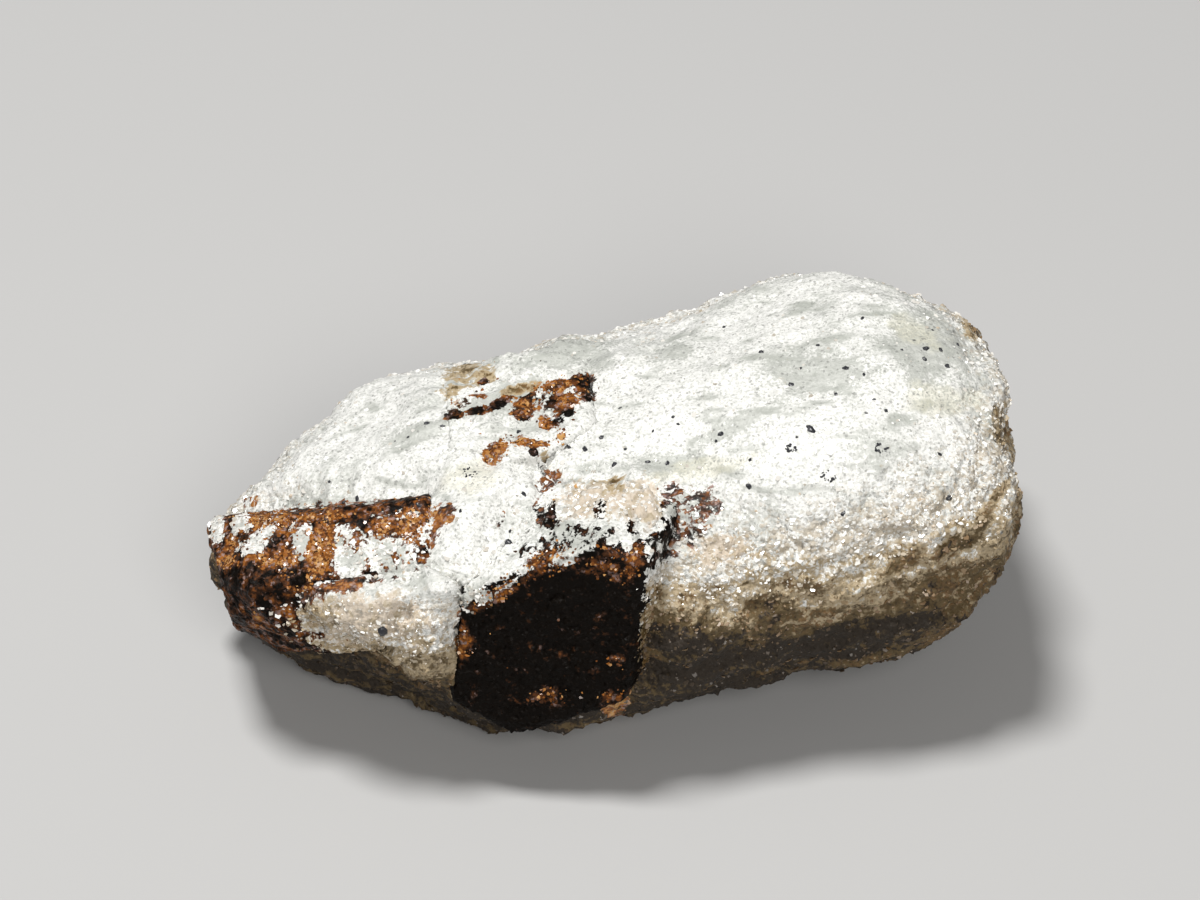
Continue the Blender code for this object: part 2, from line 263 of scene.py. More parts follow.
# Place and size in metres, watts and colour.
KEY_LIGHT = ((-0.06, 0.012, 0.300), 0.075, 0.90, (1.0, 0.99, 0.97))
FILL_LIGHT = ((0.06, -0.26, 0.22), 0.16, 0.58, (1.0, 0.98, 0.95))


def smooth_step(low, high, values):
    """0 at low and below, 1 at high and above, and a smooth rise between. low may be the larger."""
    share = np.clip((values - low) / (high - low), 0.0, 1.0)
    return share * share * (3.0 - 2.0 * share)


def noise_at(points, waves, seed, octaves=1):
    """Blender's noise at each point, from about -1 to 1, with so many waves to the millimetre."""
    places = points * waves + 31.7 * seed
    if octaves == 1:
        return np.array([noise.noise(p) for p in places.tolist()])
    return np.array([noise.fractal(p, 1.0, 2.0, octaves) for p in places.tolist()])


def chips_at(points, waves, seed):
    """Flat chips that each slope their own way: how far each point stands out, in millimetres."""
    places = points * waves + 31.7 * seed
    heights = []
    for place in places.tolist():
        middle = noise.voronoi(place)[1][0]
        slope = noise.noise_vector(middle * 3.7)
        heights.append((Vector(place) - middle).dot(slope))
    return np.array(heights) / waves


def unit(vectors):
    return vectors / np.linalg.norm(vectors, axis=1)[:, None]


# The camera


def camera_axes():
    """Right, up and backwards, as the camera sees them."""
    back = Vector((0.0, -math.cos(CAMERA_ELEVATION), math.sin(CAMERA_ELEVATION)))
    turn = (-back).to_track_quat("-Z", "Y")
    return turn @ Vector((1, 0, 0)), turn @ Vector((0, 1, 0)), back


def to_photo(points):
    """The photograph's pixel of each point, as two arrays."""
    right, up, back = (np.array(axis) for axis in camera_axes())
    seen = points - (np.array(CAMERA_AIM) + back * CAMERA_DISTANCE)
    scale = LENS / SENSOR * PHOTO_WIDTH / -(seen @ back)
    return PHOTO_WIDTH / 2 + (seen @ right) * scale, PHOTO_HEIGHT / 2 - (seen @ up) * scale


def photo_ray(u, v):
    """Where the ray through a pixel of the photograph starts, and its direction."""
    right, up, back = camera_axes()
    scale = SENSOR / LENS / PHOTO_WIDTH
    ray = right * ((u - PHOTO_WIDTH / 2) * scale) - up * ((v - PHOTO_HEIGHT / 2) * scale) - back
    return CAMERA_AIM + back * CAMERA_DISTANCE, ray.normalized()


def marked(points, normals, marks, warp=0.0):
    """How far each point lies in the marks: 1 well inside, 0.5 at an edge and 0 outside. The warp is
    an array that roughens the edges. Faces turned away from the camera hold no marks."""
    u, v = to_photo(points)
    found = np.zeros(len(points))
    for centre_u, centre_v, half_length, half_width, tilt in marks:
        turn = math.radians(tilt)
        aside, down = u - centre_u, v - centre_v
        along = (aside * math.cos(turn) - down * math.sin(turn)) / half_length
        across = (aside * math.sin(turn) + down * math.cos(turn)) / half_width
        found = np.maximum(found, smooth_step(1.6, 0.4, np.hypot(along, across) + warp))
    facing = normals @ np.array(camera_axes()[2])
    return found * smooth_step(-0.05, 0.15, facing)


# Meshes


def fine_mesh(node, face_size):
    """A solid of the frame as an even, closed mesh of small faces, in millimetres."""
    solid = node.data.copy()
    solid.transform(Matrix.Scale(1 / MM, 4))
    coarse = bpy.data.objects.new(f"{node.name}_coarse", solid)
    bpy.context.scene.collection.objects.link(coarse)
    remesh = coarse.modifiers.new("fine faces", "REMESH")
    remesh.mode = "VOXEL"
    remesh.voxel_size = face_size
    graph = bpy.context.evaluated_depsgraph_get()
    mesh = bpy.data.meshes.new_from_object(coarse.evaluated_get(graph))
    mesh.materials.clear()
    bpy.data.objects.remove(coarse)
    return mesh


def places(mesh):
    """The mesh's vertices and their normals."""
    points = np.empty(len(mesh.vertices) * 3, np.float32)
    normals = np.empty(len(mesh.vertices) * 3, np.float32)
    mesh.vertices.foreach_get("co", points)
    mesh.vertex_normals.foreach_get("vector", normals)
    return points.reshape(-1, 3).astype(float), normals.reshape(-1, 3).astype(float)


def move_to(mesh, points):
    mesh.vertices.foreach_set("co", points.astype(np.float32).ravel())
    mesh.update()


def smooth(mesh, rounds):
    """Smooths the mesh, and keeps its volume."""
    points, _ = places(mesh)
    ends = np.empty(len(mesh.edges) * 2, np.int32)
    mesh.edges.foreach_get("vertices", ends)
    one, other = ends.reshape(-1, 2).T
    count = np.bincount(ends, minlength=len(points))
    for step in SMOOTHING_STEPS * rounds:
        for axis in range(3):
            line = points[:, axis]
            total = np.bincount(one, line[other], len(line))
            total += np.bincount(other, line[one], len(line))
            points[:, axis] = line + step * (total / count - line)
    move_to(mesh, points)


def store(mesh, name, values):
    """Keeps one number for each vertex, for the materials to read."""
    attribute = mesh.attributes.new(name, "FLOAT", "POINT")
    attribute.data.foreach_set("value", values.astype(np.float32))


def tree_of(mesh):
    return BVHTree.FromPolygons(
        [v.co for v in mesh.vertices], [p.vertices for p in mesh.polygons]
    )


def finished(name, mesh, material):
    """The piece as an object in metres, which rides on the one body."""
    mesh.transform(Matrix.Scale(MM, 4))
    mesh.materials.append(material)
    made = bpy.data.objects.new(name, mesh)
    bpy.context.scene.collection.objects.link(made)
    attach(made, "root")
    return made


# The rock


def below(points, height, rise, softness):
    """1 below a height that rises to the right, and 0 above it."""
    line = height + rise * (points[:, 0] - LEFT_END)
    return smooth_step(line + softness, line - softness, points[:, 2])


def granular_at(points):
    """How granular the rock is at each point."""
    return below(points, GRANULAR_BELOW, GRANULAR_RISE, GRANULAR_SOFTNESS)


def stain_and_shade_at(points, patchy=0.0):
    """How brown the rock is at each point: beige by 0.5 and as dark as earth at 1.2. The brown below
    a line that rises to the right is a stain, darkened partly as painted shade; the darkening to
    near-black towards the bottom is painted shade on the lower sides and underside.
    """
    shifted = points.copy()
    shifted[:, 2] += patchy
    upper = below(shifted, STAIN_AND_SHADE_BELOW, STAIN_AND_SHADE_RISE, STAIN_AND_SHADE_SOFTNESS)
    # Painted shade: darker still towards the bottom.
    return upper + 0.35 * smooth_step(4.5, 2.5, shifted[:, 2])


def rock_relief(points, normals):
    """How far the rock's surface stands out from the smooth stone, in millimetres."""
    coarse = SMOOTH_ROCK_RELIEF + (1.0 - SMOOTH_ROCK_RELIEF) * granular_at(points)
    edge_on = 1.0 - (normals @ ACROSS_THE_LAYERS) ** 2
    layer = points @ ACROSS_THE_LAYERS / LAYER_PERIOD + 0.7 * noise_at(points, 0.3, 1)
    layer += 0.25 * noise_at(points, 1.1, 2)
    ridge = np.abs((layer % 1.0) - 0.5) * 2.0
    broken = smooth_step(-0.45, 0.35, noise_at(points, 0.55, 3))
    relief = LAYER_HEIGHT * edge_on * broken * (ridge**1.5 - 0.4)
    for height, waves, seed, octaves in ROCK_NOISE:
        relief += coarse * height * noise_at(points, waves, seed, octaves)
    for height, waves, seed in ROCK_CHIPS:
        relief += coarse * height * chips_at(points, waves, seed)
    return relief


def off_the_ground(points):
    return smooth_step(FLAT_BELOW, FULL_RELIEF_ABOVE, points[:, 2])


def banked(points, normals, trees):
    """The upper side's points, raised to the top of a crystal that stands a little proud of them."""
    moved = points.copy()
    for tree in trees:
        for i in np.flatnonzero(normals[:, 2] > BANK_FACING):
            place = Vector(points[i])
            hit, _, _, distance = tree.find_nearest(place, BANK_WIDTH)
            if hit is None:
                continue
            inward = (hit - place).xy.normalized() * 0.3
            start = Vector((hit.x + inward.x, hit.y + inward.y, 2 * cad_high[2] / MM))
            top = tree.ray_cast(start, Vector((0, 0, -1)))[0]
            if top is None or top.z <= place.z:
                continue
            rise = top.z - place.z
            share = smooth_step(BANK_WIDTH, 0.2, distance) * smooth_step(*BANK_STEP, rise)
            moved[i, 2] += share * rise
    return moved


def drawn_in(points, trees):
    """The points near a crystal, drawn in to it until they touch it."""
    moved = points.copy()
    for tree in trees:
        for i, place in enumerate(points.tolist()):
            hit, normal, _, distance = tree.find_nearest(place, DRAWN_IN[1])
            if hit is None:
                continue
            outward = Vector(place) - hit
            if outward.dot(normal) <= 0.0:
                outward, distance = normal, 0.0
            share = float(smooth_step(DRAWN_IN[1], DRAWN_IN[0], distance))
            target = hit + outward.normalized() * CONTACT
            moved[i] += share * (np.array(target) - points[i])
    return moved


def store_marks(mesh, coat, base_warmth, stain_and_shade_share):
    """Keeps what the materials read: how brown each point is and how warm that brown, and the rock's
    colours. The coat is 1 where rock or mica covers the brown, apart from the marks."""
    points, normals = places(mesh)
    warp = 0.45 * noise_at(points, 1.4, 11, octaves=3)
    rust = marked(points, normals, RUST, warp)
    dark = marked(points, normals, DARK, warp)
    speckled = marked(points, normals, SPECKLED, warp)
    silver = np.maximum(coat, marked(points, normals, SILVER, warp))
    brown = np.maximum(1.0 - silver, np.maximum(rust, dark))
    store(mesh, "brown", brown * (1.0 - speckled) + 0.5 * speckled)
    darkened = DARK_SHARE * (DARK_WARMTH - base_warmth) * dark
    store(mesh, "warmth", base_warmth + RUST_WARMTH * rust + darkened)
    patchy = 0.8 * noise_at(points, 0.35, 12, octaves=2)
    stained_and_shaded = marked(points, normals, STAIN_AND_SHADE_MARKS, warp)
    store(mesh, "stain", stain_and_shade_share * stain_and_shade_at(points, patchy) + MARKED_STAIN_AND_SHADE * stained_and_shaded)
    store(mesh, "granular", granular_at(points))
    store(mesh, "grey", marked(points, normals, GREY, warp))
    store(mesh, "quartz", marked(points, normals, QUARTZ, warp))
    store(mesh, "yellow", marked(points, normals, YELLOW, warp))


def make_rock(crystal_trees, material):
    mesh = fine_mesh(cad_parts["schist"], ROCK_FACE)
    smooth(mesh, ROCK_SMOOTHING)
    points, normals = places(mesh)
    raised = off_the_ground(points)
    points = banked(points, normals, crystal_trees)
    relief = rock_relief(points, normals) * raised
    points += normals * relief[:, None]
    points = drawn_in(points, crystal_trees)
    points[:, 2] = np.maximum(points[:, 2], 0.0)
    move_to(mesh, points)
    mesh.shade_smooth()
    store_marks(mesh, np.ones(len(points)), ROCK_WARMTH, 1.0)
    rock = finished("schist_rock", mesh, material)
    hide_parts("schist")
    return rock


# The crystals


def crystal_relief(points, silver, seed):
    """Chips and fine ridges, with the mica that coats a crystal raised on them, in millimetres."""
    relief = np.zeros(len(points))
    for k, (height, waves) in enumerate(CRYSTAL_CHIPS):
        relief += height * chips_at(points, waves, seed + k)
    relief += CRYSTAL_NOISE * noise_at(points, 3.0, seed + 2, octaves=3)
    coat = MICA_COAT + MICA_COAT_NOISE * noise_at(points, 2.2, seed + 3, octaves=2)
    return relief + silver * coat


def front_coat(normals):
    """The front crystal is coated on top and at its back."""
    return np.maximum(smooth_step(0.50, 0.75, normals[:, 2]), smooth_step(0.15, 0.40, normals[:, 1]))


def left_coat(normals):
    """The left crystal is bare, apart from its marks."""
    return np.zeros(len(normals))


def top_coat(normals):
    """The top crystal is coated all over, apart from its marks."""
    return np.ones(len(normals))


def crystal_mesh(node_name, coat, base_warmth, smoothing, seed):
    """A crystal's fine mesh with its relief and marks."""
    mesh = fine_mesh(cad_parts[node_name], CRYSTAL_FACE)
    smooth(mesh, smoothing)
    points, normals = places(mesh)
    covered = coat(normals)
    silver = np.maximum(covered, marked(points, normals, SILVER))
    relief = crystal_relief(points, silver, seed) * off_the_ground(points)
    move_to(mesh, points + normals * relief[:, None])
    mesh.shade_smooth()
    store_marks(mesh, covered, base_warmth, CRYSTAL_STAIN_AND_SHADE)
    return mesh


# Flakes and grains


def surface_samples(mesh, count, density, rng):
    """Random places on a mesh and the normals there. density gives each face's share by its centre
    and normal."""
    size = len(mesh.polygons)
    centres, normals = np.empty(size * 3), np.empty(size * 3)
    areas = np.empty(size)
    mesh.polygons.foreach_get("center", centres)
    mesh.polygons.foreach_get("normal", normals)
    mesh.polygons.foreach_get("area", areas)
    centres, normals = centres.reshape(-1, 3), normals.reshape(-1, 3)
    chance = areas * density(centres, normals)
    chosen = rng.choice(size, count, p=chance / chance.sum(), replace=True)
    aside = np.cross(normals[chosen], rng.normal(size=(count, 3)))
    away = np.sqrt(areas[chosen]) * rng.uniform(0.0, 0.5, count)
    return centres[chosen] + unit(aside) * away[:, None], normals[chosen]


def plate():
    """A flat plate with its axis along Z, as corners and faces."""
    shape = bmesh.new()
    bmesh.ops.create_cone(
        shape, cap_ends=True, segments=FLAKE_CORNERS, radius1=1.0, radius2=1.0, depth=2.0
    )
    return corners_and_faces(shape)


def lump(subdivisions):
    """A ball of small faces, as corners and faces."""
    shape = bmesh.new()
    bmesh.ops.create_icosphere(shape, subdivisions=subdivisions, radius=1.0)
    return corners_and_faces(shape)


def corners_and_faces(shape):
    corners = np.array([vert.co for vert in shape.verts])
    faces = [[vert.index for vert in face.verts] for face in shape.faces]
    shape.free()
    return corners, faces


def scattered(name, shape, centres, upward, sizes, jitter, rng):
    """Many copies of a shape as one mesh of closed bodies. Each stands on its centre with its Z
    upward, is turned at random, and has its own size, and its corners are jittered by a share."""
    corners, faces = shape
    count = len(centres)
    aside = unit(np.cross(upward, rng.normal(size=(count, 3))))
    ahead = np.cross(upward, aside)
    local = corners * (1.0 + np.array(jitter) * rng.uniform(-1.0, 1.0, (count, len(corners), 3)))
    local *= sizes[:, None, :]
    verts = centres[:, None, :] + np.zeros_like(local)
    for axis, direction in enumerate((aside, ahead, upward)):
        verts += local[:, :, axis, None] * direction[:, None, :]
    mesh = bpy.data.meshes.new(name)
    mesh.from_pydata(
        verts.reshape(-1, 3).tolist(), [],
        [[len(corners) * k + i for i in face] for k in range(count) for face in faces],
    )
    store(mesh, "tone", np.repeat(rng.uniform(0.0, 1.0, count), len(corners)))
    stain = stain_and_shade_at(centres) + MARKED_STAIN_AND_SHADE * marked(centres, upward, STAIN_AND_SHADE_MARKS)
    store(mesh, "stain", np.repeat(stain, len(corners)))
    return mesh


def small_first(low, high, count, rng):
    """Random sizes between two, most of them small."""
    return low + (high - low) * rng.uniform(0.0, 1.0, count) ** 2.2


def flakes(name, centres, normals, along_layers, radii, rng):
    """Thin plates of mica. They lie partly along the rock's layers and partly along the surface."""
    count = len(centres)
    side = np.where(normals @ ACROSS_THE_LAYERS < 0.0, -1.0, 1.0)
    upward = (1.0 - along_layers) * normals + along_layers * side[:, None] * ACROSS_THE_LAYERS
    upward = unit(upward + FLAKE_TILT * rng.normal(size=(count, 3)))
    radius = small_first(*radii, count, rng)
    thick = np.full(count, FLAKE_THICKNESS / 2)
    sizes = np.stack([radius, radius * rng.uniform(0.6, 1.0, count), thick], axis=1)
    return scattered(name, plate(), centres, upward, sizes, (JITTER, JITTER, 0.0), rng)


def lumps(name, centres, normals, radii, subdivisions, rng):
    """Angular grains, each sunk in the surface by a share of its radius."""
    count = len(centres)
    upward = unit(normals + GRAIN_TILT * rng.normal(size=(count, 3)))
    stretch = rng.uniform((0.9, 0.6, 0.6), (1.3, 1.0, 0.9), (count, 3))
    centres = centres - normals * radii[:, None] * SUNK
    sizes = radii[:, None] * stretch
    return scattered(name, lump(subdivisions), centres, upward, sizes, (JITTER,) * 3, rng)


# Materials


class Shading:
    """Adds shader nodes to a material, with its textures laid out in millimetres."""

    def __init__(self, name):
        self.material = bpy.data.materials.new(name)
        self.material.use_nodes = True
        self.tree = self.material.node_tree
        self.shader = self.tree.nodes["Principled BSDF"]
        place = self.tree.nodes.new("ShaderNodeTexCoord").outputs["Object"]
        self.millimetres = self.vector("SCALE", place, 1 / MM)

    def add(self, kind, inputs, **settings):
        made = self.tree.nodes.new(kind)
        for name, value in settings.items():
            setattr(made, name, value)
        for name, value in inputs.items():
            self.set(made.inputs[name], value)
        return made

    def set(self, socket, value):
        if isinstance(value, bpy.types.NodeSocket):
            self.tree.links.new(value, socket)
        elif isinstance(value, tuple) and len(value) == 3 and socket.type == "RGBA":
            socket.default_value = (*value, 1.0)
        else:
            socket.default_value = value

    def vector(self, operation, first, second=None):
        made = self.add("ShaderNodeVectorMath", {0: first}, operation=operation)
        if second is not None:
            self.set(made.inputs["Scale" if operation == "SCALE" else 1], second)
        return made.outputs["Vector"]

    def math(self, operation, *values):
        made = self.add("ShaderNodeMath", dict(enumerate(values)), operation=operation)
        return made.outputs[0]

    def noise(self, waves, detail=2.0, stretch=None):
        """Noise from 0 to 1. A stretch draws it out, as three factors for X, Y and Z."""
        place = self.millimetres
        if stretch:
            place = self.vector("MULTIPLY", place, stretch)
        made = self.add("ShaderNodeTexNoise", {"Vector": place, "Scale": waves, "Detail": detail})
        return made.outputs["Fac"]

    def cells(self, waves):
        """A random colour in each cell, with crooked edges between the cells."""
        bend = self.add("ShaderNodeTexNoise", {"Vector": self.millimetres, "Scale": waves})
        shift = self.vector("SUBTRACT", bend.outputs["Color"], (0.5, 0.5, 0.5))
        place = self.vector("ADD", self.millimetres, self.vector("SCALE", shift, 1.2 / waves))
        made = self.add("ShaderNodeTexVoronoi", {"Vector": place, "Scale": waves})
        return made.outputs["Color"]

    def cell_tones(self, waves):
        """Three random numbers from 0 to 1 in each cell."""
        parts = self.add("ShaderNodeSeparateColor", {"Color": self.cells(waves)})
        return parts.outputs[0], parts.outputs[1], parts.outputs[2]

    def pebbles(self, waves):
        """Rounded grains: 0 in the middle of each, and larger towards its edge."""
        made = self.add("ShaderNodeTexVoronoi", {"Vector": self.millimetres, "Scale": waves})
        return made.outputs["Distance"]

    def attribute(self, name):
        made = self.add("ShaderNodeAttribute", {}, attribute_name=name)
        return made.outputs["Fac"]

    def ramp(self, value, low, high):
        """0 where the value is low and 1 where it is high, with a smooth rise between."""
        made = self.add(
            "ShaderNodeMapRange", {"Value": value, "From Min": low, "From Max": high},
            interpolation_type="SMOOTHSTEP",
        )
        return made.outputs["Result"]

    def roughened(self, value, *textures):
        """The value with textures added, each with how far it moves the value from end to end."""
        for texture, swing in textures:
            moved = self.math("MULTIPLY_ADD", texture, swing, -swing / 2)
            value = self.math("ADD", value, moved)
        return value

    def mix(self, factor, first, second):
        made = self.add("ShaderNodeMix", {0: factor, 6: first, 7: second}, data_type="RGBA")
        return made.outputs[2]

    def tint(self, mask, strength, colour, tinted):
        """The colour, tinted by up to the strength where the mask is 1."""
        return self.mix(self.math("MULTIPLY", mask, strength), colour, tinted)

    def number(self, factor, first, second):
        """A number between two others."""
        made = self.add("ShaderNodeMix", {0: factor, 2: first, 3: second})
        return made.outputs[0]

    def scale(self, value, *stops):
        """Colours along a scale, as positions from 0 to 1 and colours."""
        made = self.add("ShaderNodeValToRGB", {"Fac": value})
        points = made.color_ramp.elements
        for point, (position, colour) in zip(points, (stops[0], stops[-1])):
            point.position = position
            point.color = (*colour, 1.0)
        for position, colour in stops[1:-1]:
            points.new(position).color = (*colour, 1.0)
        return made.outputs["Color"]

    def glitter(self, waves, strength):
        """The surface's normal, tilted at random in each small cell."""
        tilt = self.vector("SUBTRACT", self.cells(waves), (0.5, 0.5, 0.5))
        tilt = self.vector("SCALE", tilt, strength)
        normal = self.tree.nodes.new("ShaderNodeNewGeometry").outputs["Normal"]
        return self.vector("NORMALIZE", self.vector("ADD", normal, tilt))


def schist_colour(s, grain, fine, big, small):
    """White to grey-green mica rock, beige where it is granular, and brown to near-black where it is
    stained and where painted shade darkens its lower sides.
    """
    granular = s.attribute("granular")
    smooth_share = s.math("SUBTRACT", 1.0, granular)
    mottling = s.roughened(s.noise(0.45, 3.0), (fine, 0.35))
    lines = s.noise(1.2, 3.0, (0.35, 1.3, 2.2))
    colour = s.tint(s.ramp(mottling, 0.48, 0.72), 0.6, WHITE_MICA, PALE_GREY)
    colour = s.mix(s.math("MULTIPLY", s.ramp(lines, 0.52, 0.72), smooth_share), colour, PALE_GREY)
    grey = s.roughened(s.attribute("grey"), (fine, 1.2), (small, 0.4))
    colour = s.tint(s.ramp(grey, 0.25, 0.85), 0.75, colour, PALE_GREY)
    yellow = s.roughened(s.attribute("yellow"), (grain, 0.8))
    colour = s.tint(s.ramp(yellow, 0.2, 0.9), 0.3, colour, STRAW)
    colour = s.tint(s.ramp(fine, 0.50, 0.64), 0.6, colour, PALE_GREY)
    colour = s.tint(s.ramp(s.cell_tones(13.0)[0], 0.93, 0.97), 0.6, colour, SPECK_GREY)
    colour = s.tint(s.ramp(small, 0.60, 1.0), 0.3, colour, PALE_GREY)
    grains = s.roughened(s.math("MULTIPLY", granular, 0.55), (big, 0.5), (small, 0.6), (grain, 1.2))
    colour = s.tint(s.math("MULTIPLY", s.ramp(grains, 0.25, 0.70), granular), 0.95, colour, WARM_GREY)
    quartz = s.roughened(s.attribute("quartz"), (grain, 1.0), (big, 0.4), (small, 0.3))
    beige = s.mix(s.ramp(big, 0.55, 0.90), PINK_BEIGE, BEIGE)
    colour = s.tint(s.ramp(quartz, 0.35, 0.75), 0.8, colour, beige)
    bands = s.noise(0.9, 3.0, (0.3, 0.6, 2.5))
    stain = s.roughened(s.attribute("stain"), (bands, 1.6), (grain, 1.2), (big, 0.25), (small, 0.3))
    stain = s.math("MULTIPLY", stain, s.ramp(s.attribute("stain"), 0.0, 0.20))
    # The stain with painted shade in it: beige, then olive brown, then near-black towards the bottom.
    colour = s.mix(s.ramp(stain, 0.12, 0.42), colour, BEIGE)
    colour = s.mix(s.ramp(stain, 0.50, 0.85), colour, OLIVE_BROWN)
    tawny = s.ramp(s.roughened(s.noise(0.7, 3.0), (small, 0.3)), 0.52, 0.70)
    colour = s.tint(s.math("MULTIPLY", tawny, s.ramp(stain, 0.4, 0.8)), 0.6, colour, TAWNY)
    return s.mix(s.ramp(stain, 1.00, 1.35), colour, EARTH_AND_SHADE)


def staurolite_colour(s, grain, big, small, mica):
    """Near-black to red-brown, and orange-brown where it is thin or rusty."""
    patches = s.noise(1.6, 3.0)
    warmth = s.roughened(
        s.attribute("warmth"), (patches, 0.95), (grain, 0.85), (big, 0.28), (small, 0.26)
    )
    colour = s.scale(
        warmth, (0.10, NEAR_BLACK), (0.27, DARK_BROWN), (0.45, RED_BROWN), (0.66, ORANGE_BROWN),
        (0.92, GOLDEN),
    )
    lilac = s.math("MULTIPLY", s.ramp(mica, 0.78, 0.88), s.ramp(warmth, 0.14, 0.45))
    return s.tint(lilac, 0.45, colour, LILAC_GREY)


def specimen_material(name, specular):
    """Mica schist, and staurolite where the piece is brown."""
    s = Shading(name)
    grain = s.noise(3.2, 6.0)
    fine = s.noise(11.0, 4.0)
    big = s.cell_tones(4.5)[0]
    small, gloss, mica = s.cell_tones(10.0)
    patches = s.noise(1.5, 2.0, (1.6, 0.8, 0.8))
    mask = s.roughened(
        s.attribute("brown"), (patches, 1.4), (grain, 1.2), (big, 0.32), (small, 0.24)
    )
    mask = s.math("MULTIPLY", mask, s.ramp(s.attribute("brown"), 0.02, 0.30))
    mask = s.math("ADD", mask, s.ramp(s.attribute("brown"), 0.75, 0.98))
    brown = s.ramp(mask, 0.44, 0.56)
    schist = schist_colour(s, grain, fine, big, small)
    colour = s.mix(brown, schist, staurolite_colour(s, grain, big, small, mica))
    s.set(s.shader.inputs["Base Color"], colour)
    dull = s.ramp(s.attribute("stain"), 0.3, 1.0)
    rock_roughness = s.number(dull, ROCK_ROUGHNESS, STAINED_ROCK_ROUGHNESS)
    roughness = s.number(brown, rock_roughness, BROWN_ROUGHNESS)
    glossy = s.number(brown, s.number(dull, 1.0, 0.2), 0.5)
    glossy = s.math("MULTIPLY", s.ramp(gloss, 0.80, 0.95), glossy)
    s.set(s.shader.inputs["Roughness"], s.number(glossy, roughness, GLOSSY_ROUGHNESS))
    s.set(s.shader.inputs["Specular IOR Level"], specular)
    granular = s.attribute("granular")
    pebbles = s.math("MULTIPLY", s.pebbles(5.5), s.math("MULTIPLY", granular, -1.1))
    height = s.math("MULTIPLY_ADD", fine, 0.4, s.math("MULTIPLY_ADD", grain, 0.6, pebbles))
    bump = s.add(
        "ShaderNodeBump",
        {
            "Height": height, "Distance": BUMP_HEIGHT * MM, "Strength": 1.0,
            "Normal": s.glitter(7.0, s.number(granular, 0.30, 0.75)),
        },
    )
    s.set(s.shader.inputs["Normal"], bump.outputs["Normal"])
    return s.material


def body_material(name, stained_and_shaded, specular, *tones):
    """For flakes and grains: each has its own tone on the scale, and the rock's stain and painted
    shade brown it.
    """
    s = Shading(name)
    stops = [(k / (len(tones) - 1), tone) for k, tone in enumerate(tones)]
    colour = s.scale(s.attribute("tone"), *stops)
    roughness = BODY_ROUGHNESS
    if stained_and_shaded:
        stain = s.attribute("stain")
        colour = s.mix(s.ramp(stain, 0.20, 0.60), colour, BEIGE)
        colour = s.tint(s.ramp(stain, 0.45, 0.95), 0.85, colour, TAWNY)
        colour = s.tint(s.ramp(stain, 0.90, 1.40), 0.85, colour, EARTH_AND_SHADE)
        roughness = s.number(s.ramp(stain, 0.3, 1.0), BODY_ROUGHNESS, STAINED_BODY_ROUGHNESS)
    s.set(s.shader.inputs["Base Color"], colour)
    s.set(s.shader.inputs["Roughness"], roughness)
    s.set(s.shader.inputs["Specular IOR Level"], specular)
    return s.material


def ore_material():
    """Dull black ore with a little blue."""
    s = Shading("black_ore")
    s.set(s.shader.inputs["Base Color"], s.mix(s.noise(8.0), ORE_BLACK, ORE_BLUE))
    s.set(s.shader.inputs["Roughness"], ORE_ROUGHNESS)
    return s.material


# The scene


def light(name, place, size, watts, colour):
    lamp = bpy.data.lights.new(name, "AREA")
    lamp.shape = "DISK"
    lamp.size = size
    lamp.energy = watts
    lamp.color = colour
    made = bpy.data.objects.new(name, lamp)
    made.location = place
    made.rotation_euler = (-Vector(place)).to_track_quat("-Z", "Y").to_euler()
    bpy.context.scene.collection.objects.link(made)


def make_stage():
    """A plain pale floor, the lights and the camera."""
    bpy.ops.mesh.primitive_plane_add(size=2.0)
    floor = bpy.context.object
    floor.name = "floor"
    pale = Shading("pale_floor")
    pale.set(pale.shader.inputs["Base Color"], FLOOR_GREY)
    pale.set(pale.shader.inputs["Roughness"], FLOOR_ROUGHNESS)
    floor.data.materials.append(pale.material)

    world = bpy.data.worlds.new("soft_light")
    world.use_nodes = True
    background = world.node_tree.nodes["Background"]
    background.inputs["Color"].default_value = (1.0, 1.0, 1.0, 1.0)
    background.inputs["Strength"].default_value = WORLD_STRENGTH
    scene = bpy.context.scene
    scene.world = world
    scene.view_settings.view_transform = "Standard"
    light("key", *KEY_LIGHT)
    light("fill", *FILL_LIGHT)

    camera = bpy.data.cameras.new("photo_view")
    camera.lens, camera.sensor_width = LENS, SENSOR
    camera.clip_start, camera.clip_end = 0.01, 10.0
    made = bpy.data.objects.new("photo_view", camera)
    _, _, back = camera_axes()
    made.location = (CAMERA_AIM + back * CAMERA_DISTANCE) * MM
    made.rotation_euler = (-back).to_track_quat("-Z", "Y").to_euler()
    scene.collection.objects.link(made)
    scene.camera = made


def photo_hits(tree, marks):
    """Where marks of a centre and a radius in the photograph lie on the surface, with normals and
    radii in millimetres. A mark that misses the surface is left out."""
    pixel = CAMERA_DISTANCE * SENSOR / LENS / PHOTO_WIDTH
    found = []
    for u, v, radius in marks:
        hit, normal, _, _ = tree.ray_cast(*photo_ray(u, v))
        if hit:
            found.append((*hit, *normal, radius * pixel))
    found = np.array(found)
    return found[:, :3], found[:, 3:6], found[:, 6]


def ring_marks():
    """Each ring as a crooked circle of small grains with a gap in it."""
    for u, v, radius in GRAIN_RINGS:
        for k in range(RING_GRAINS):
            turn = 2 * math.pi * k / (RING_GRAINS + RING_GAP)
            reach = radius * (1.0 + 0.2 * math.sin(3.0 * k + u))
            size = RING_GRAIN_RADIUS * (1.0 + 0.4 * math.sin(5.0 * k + v))
            yield u + reach * math.cos(turn), v + 0.7 * reach * math.sin(turn), size


def out_of_view(centres, normals):
    """1 on the sides that the camera doesn't see, off the ground."""
    facing = normals @ np.array(camera_axes()[2])
    return smooth_step(0.25, 0.0, facing) * smooth_step(0.6, 1.5, centres[:, 2])


